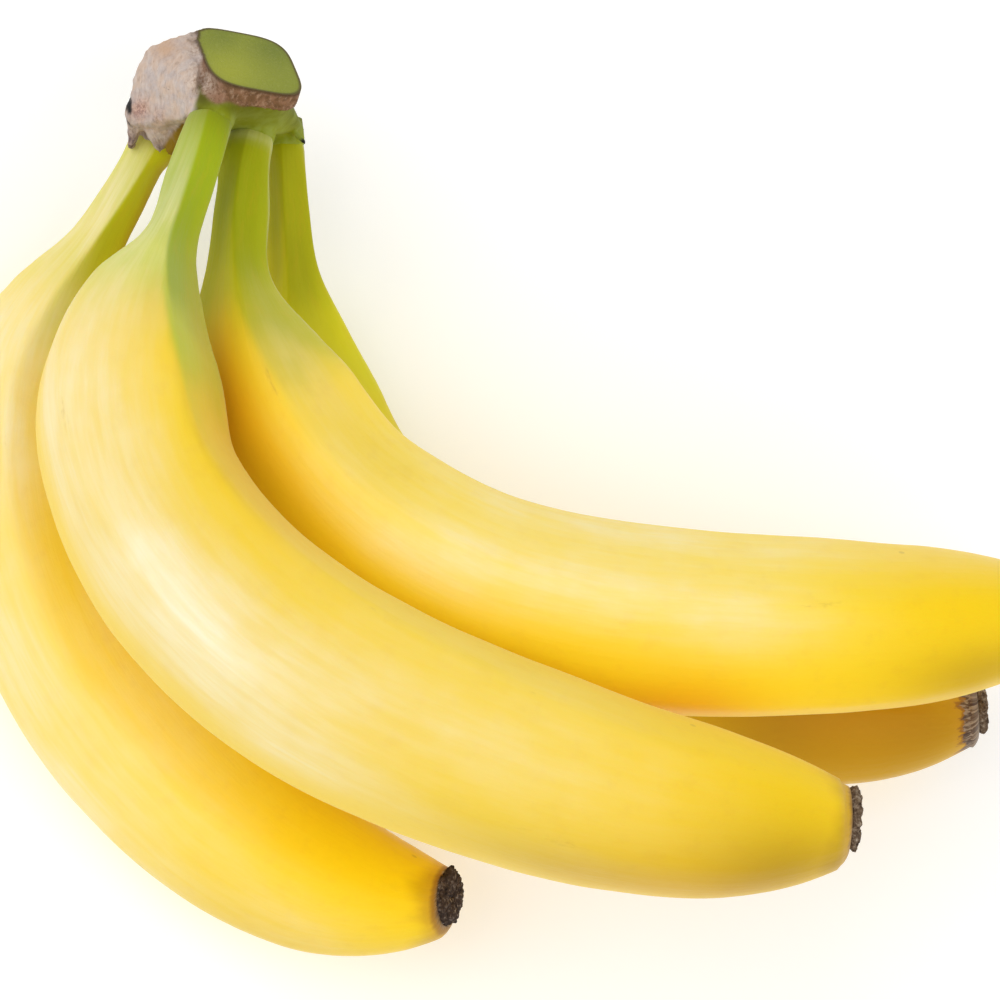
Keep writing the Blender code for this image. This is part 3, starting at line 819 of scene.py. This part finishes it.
def peel_material(side):
    n = Nodes("peel_" + side)
    share = n.attribute("share")
    straight = n.attribute("straight", "Vector")
    crest_value = n.attribute("crest")
    stalk, neck, stalk_end, neck_at, yellow_at = RIPENESS[side]

    cloudy = n.noise(straight, 55, 3.0)
    drift = n.maths("MULTIPLY", n.maths("SUBTRACT", cloudy, 0.5), 0.08)
    place = n.maths("ADD", n.attribute("ripe"), drift)
    body = n.ramp(place, [(0.0, stalk), (stalk_end, stalk), (neck_at, neck), (yellow_at, YELLOW[side]),
                          (0.70, YELLOW[side]), (0.86, GOLD[side]), (0.965, GOLD[side]),
                          (1.0, TIP_OLIVE)])
    streaks = n.noise(n.stretched(straight, (1, 1, 0.12)), 420, 4.0, 0.6)
    mottle = n.noise(straight, 240, 4.0, 0.6)
    body = n.mix(n.maths("MULTIPLY", n.mask(mottle, 0.50, 0.72), 0.10), body,
                 srgb(222, 168, 40))

    # Painted shade: deeper orange where the peel lies in shade.
    body = n.mix(n.attribute("shade_amber"), body, SHADE_AMBER)
    # Painted shade, multiplied into the peel colour.
    body = n.mix(n.attribute("painted_shade"), body, SHADE, "MULTIPLY")
    # Waxy pale bloom, partly painted highlight on the lit facets.
    clouds = n.maths("ADD", 0.75, n.maths("MULTIPLY", n.mask(cloudy, 0.3, 0.7), 0.5))
    grain = n.maths("ADD", 0.80, n.maths("MULTIPLY", n.mask(streaks, 0.3, 0.7), 0.4))
    wax_and_highlight = n.maths("MULTIPLY", n.maths("MULTIPLY", clouds, grain), n.attribute("bloom_and_highlight"))
    body = n.mix(wax_and_highlight, body, BLOOM_AND_HIGHLIGHT)

    dots = n.add("ShaderNodeTexVoronoi", feature="F1")
    dots.inputs["Scale"].default_value = 110
    n.link(straight, dots.inputs["Vector"])
    near = n.mask(dots.outputs["Distance"], 0.085, 0.045)
    chosen = n.add("ShaderNodeSeparateColor")
    n.link(dots.outputs["Color"], chosen.inputs["Color"])
    rare = n.mask(chosen.outputs["Red"], 0.93, 0.95)
    body = n.mix(n.maths("MULTIPLY", n.maths("MULTIPLY", near, rare), 0.75), body, SPECK)

    scuff_noise = n.noise(n.stretched(straight, (1, 1, 0.3)), 170, 5.0, 0.7)
    on_ridge = n.mask(crest_value, 0.70, 0.98)
    scuff = n.maths("MULTIPLY", n.maths("MULTIPLY", n.mask(scuff_noise, 0.60, 0.72), on_ridge), 0.35)
    body = n.mix(scuff, body, srgb(166, 118, 42))

    pores = n.noise(straight, 900, 2.0, 0.5)
    burn_noise = n.noise(straight, 330, 4.0, 0.6)
    dry_at, ragged = DRY_EDGE[side]
    edge = n.maths("ADD", share, n.maths("MULTIPLY", n.maths("SUBTRACT", burn_noise, 0.5), ragged))
    body = n.mix(n.maths("MULTIPLY", n.mask(edge, dry_at - 0.016, dry_at), 0.35), body,
                 srgb(206, 150, 40))
    dry = n.mix(n.mask(pores, 0.4, 0.6), srgb(100, 76, 56), srgb(158, 136, 112))
    dry = n.mix(n.maths("MULTIPLY", n.mask(mottle, 0.50, 0.42), 0.75), dry, srgb(66, 46, 40))
    rust = n.maths("MULTIPLY", n.mask(edge, dry_at - 0.004, dry_at), 0.55)
    body = n.mix(rust, body, srgb(112, 52, 30))
    body = n.mix(n.mask(edge, dry_at, dry_at + 0.003), body, dry)

    lines = n.noise(n.stretched(straight, (1, 1, 0.06)), 520, 3.0, 0.55)
    normal = n.bump(pores, 0.10, 0.0004)
    normal = n.bump(lines, 0.16, 0.0006, normal)
    rough = n.add("ShaderNodeMapRange")
    rough.inputs["To Min"].default_value = 0.38
    rough.inputs["To Max"].default_value = 0.54
    n.link(mottle, rough.inputs["Value"])
    return n.finish(body, rough.outputs["Result"], normal, Subsurface_Weight=0.10,
                    Subsurface_Radius=(0.006, 0.003, 0.0006), Subsurface_Scale=1.0,
                    Specular_IOR_Level=0.12, Sheen_Weight=0.22, Sheen_Roughness=0.45,
                    Sheen_Tint=(1.0, 0.97, 0.85, 1.0))


def crown_material():
    n = Nodes("crown_skin")
    local = n.attribute("local", "Vector")
    cork = n.attribute("cork")
    rim = n.attribute("rim")
    cloudy = n.noise(local, 0.36, 4.0, 0.6)
    fine = n.noise(local, 2.8, 5.0, 0.65)
    fibres = n.noise(n.stretched(local, (1, 0.36, 1)), 1.3, 5.0, 0.65)
    crumbs = n.noise(local, 1.5, 5.0, 0.7)

    # Painted shade: darker olive under the rim and in the hollows by the cork, lighter green low down.
    green = n.mix(n.mask(cloudy, 0.35, 0.65), srgb(106, 110, 14), srgb(124, 132, 40))
    green = n.mix(n.attribute("low"), green, n.mix(n.mask(cloudy, 0.35, 0.65), srgb(140, 150, 18),
                                                   srgb(152, 164, 66)))
    green = n.mix(n.attribute("shade"), green, srgb(80, 76, 8))

    brown = n.mix(n.mask(cloudy, 0.35, 0.65), srgb(118, 86, 58), srgb(152, 114, 88))
    brown = n.mix(n.maths("MULTIPLY", n.mask(fibres, 0.50, 0.66), 0.55), brown, srgb(188, 156, 132))
    brown = n.mix(n.maths("MULTIPLY", n.mask(crumbs, 0.50, 0.40), 0.50), brown, srgb(88, 62, 42))

    bark = n.mix(n.mask(cloudy, 0.38, 0.62), srgb(196, 182, 176), srgb(208, 184, 166))
    bark = n.mix(n.maths("MULTIPLY", n.mask(fibres, 0.48, 0.62), 0.42), bark, srgb(222, 208, 198))
    bark = n.mix(n.maths("MULTIPLY", n.mask(fibres, 0.46, 0.34), 0.45), bark, srgb(164, 140, 126))
    bark = n.mix(n.maths("MULTIPLY", n.mask(crumbs, 0.38, 0.30), 0.70), bark, srgb(120, 94, 80))
    bark = n.mix(n.attribute("tan"), bark, srgb(204, 166, 134))
    bark = n.mix(n.attribute("red"), bark, n.mix(n.mask(crumbs, 0.42, 0.6), srgb(140, 88, 80),
                                                 srgb(206, 164, 148)))
    bark = n.mix(n.attribute("lobe"), bark, n.mix(n.mask(fibres, 0.40, 0.62), srgb(104, 84, 84),
                                                  srgb(176, 152, 142)))

    flesh = n.mix(n.attribute("bright"), srgb(142, 150, 54), srgb(166, 170, 56))
    flesh = n.mix(n.attribute("deep"), flesh, srgb(112, 124, 50))
    flesh = n.mix(n.maths("MULTIPLY", n.mask(crumbs, 0.5, 0.7), 0.25), flesh, srgb(176, 178, 92))

    colour = n.mix(rim, green, brown)
    colour = n.mix(cork, colour, bark)
    colour = n.mix(n.maths("MULTIPLY", n.attribute("pale"), n.maths("MAXIMUM", rim, cork)), colour,
                   n.mix(n.mask(crumbs, 0.38, 0.60), srgb(164, 134, 112), srgb(218, 200, 184)))
    # Painted shade: darker olive on the strip in the fold.
    colour = n.mix(n.attribute("fold_shade"), colour, srgb(140, 110, 14))
    colour = n.mix(n.attribute("dark"), colour, srgb(44, 42, 42))
    colour = n.mix(n.attribute("cut"), colour, flesh)
    colour = n.mix(n.maths("MULTIPLY", n.attribute("edge"), 0.85), colour, srgb(82, 62, 40))
    relief = n.maths("ADD", n.maths("MULTIPLY", fibres, 0.6), n.maths("MULTIPLY", fine, 0.4))
    dry = n.maths("ADD", 0.12, n.maths("MULTIPLY", n.maths("MAXIMUM", rim, cork), 0.70))
    normal = n.bump(relief, 1.0, 0.0006)
    n.link(dry, normal.node.inputs["Strength"])
    return n.finish(colour, 0.78, normal, Specular_IOR_Level=0.2)


DARK_TIP = [(0.32, srgb(28, 20, 18)), (0.50, srgb(66, 52, 44)), (0.62, srgb(108, 94, 84)),
            (0.72, srgb(190, 178, 168))]
BROWN_TIP = [(0.32, srgb(48, 34, 28)), (0.48, srgb(104, 84, 66)), (0.60, srgb(148, 130, 110)),
             (0.72, srgb(206, 190, 172))]


def tip_material(name, stops):
    n = Nodes(name)
    coordinates = n.add("ShaderNodeTexCoord").outputs["Object"]
    fine = n.noise(coordinates, 1100, 5.0, 0.7)
    normal = n.bump(fine, 0.8, 0.0006)
    return n.finish(n.ramp(fine, stops), 0.9, normal, Specular_IOR_Level=0.15)


# Setting

FLOOR_SIZE = 3.0
FLOOR_WHITE = 0.88
FLOOR_GLOW = 0.22
SKY_STRENGTH = 0.66
LIGHT_DISTANCE = 2.0
# Direction, size in metres and power in watts of each soft light.
LIGHTS = {"key": ((-0.70, 0.25, 1.0), 1.6, 14.0), "fill": ((0.5, -0.6, 1.0), 1.8, 9.8)}


def add_floor():
    mesh = bmesh.new()
    bmesh.ops.create_grid(mesh, x_segments=2, y_segments=2, size=FLOOR_SIZE)
    data = bpy.data.meshes.new("floor")
    mesh.to_mesh(data)
    mesh.free()
    floor = bpy.data.objects.new("floor", data)
    bpy.context.scene.collection.objects.link(floor)
    material = bpy.data.materials.new("floor")
    material.use_nodes = True
    shader = material.node_tree.nodes["Principled BSDF"]
    shader.inputs["Base Color"].default_value = (FLOOR_WHITE, FLOOR_WHITE, FLOOR_WHITE, 1)
    shader.inputs["Emission Color"].default_value = (1, 1, 1, 1)
    shader.inputs["Emission Strength"].default_value = FLOOR_GLOW
    shader.inputs["Roughness"].default_value = 0.9
    shader.inputs["Specular IOR Level"].default_value = 0.1
    data.materials.append(material)


def add_light(name, direction, size, power):
    data = bpy.data.lights.new(name, "AREA")
    data.size = size
    data.energy = power
    light = bpy.data.objects.new(name, data)
    bpy.context.scene.collection.objects.link(light)
    away = Vector(direction).normalized()
    light.location = VIEW_TARGET + away * LIGHT_DISTANCE
    light.rotation_euler = away.to_track_quat("Z", "Y").to_euler()


def add_camera():
    data = bpy.data.cameras.new("camera")
    data.lens = LENS
    data.sensor_width = SENSOR
    camera = bpy.data.objects.new("camera", data)
    bpy.context.scene.collection.objects.link(camera)
    place = VIEW_TARGET + OUT * VIEW_DISTANCE
    columns = (SIDE, UP, OUT, place)
    rows = [[c[i] for c in columns] for i in range(3)]
    camera.matrix_world = Matrix(rows + [[0, 0, 0, 1]])
    bpy.context.scene.camera = camera


def add_setting():
    scene = bpy.context.scene
    scene.view_settings.view_transform = "Standard"
    world = bpy.data.worlds.new("studio")
    world.use_nodes = True
    background = world.node_tree.nodes["Background"]
    background.inputs["Color"].default_value = (1.0, 1.0, 1.0, 1)
    background.inputs["Strength"].default_value = SKY_STRENGTH
    scene.world = world
    for name, (direction, size, power) in LIGHTS.items():
        add_light(name, direction, size, power)
    add_floor()
    add_camera()


def main():
    dark_tip = tip_material("dry_tip_dark", DARK_TIP)
    brown_tip = tip_material("dry_tip_brown", BROWN_TIP)
    add_crown(crown_material())
    for side, banana in BANANAS.items():
        add_peel(side, banana, peel_material(side))
        add_dry_tip(side, banana, dark_tip if side in ("left", "right") else brown_tip)
    add_setting()


main()
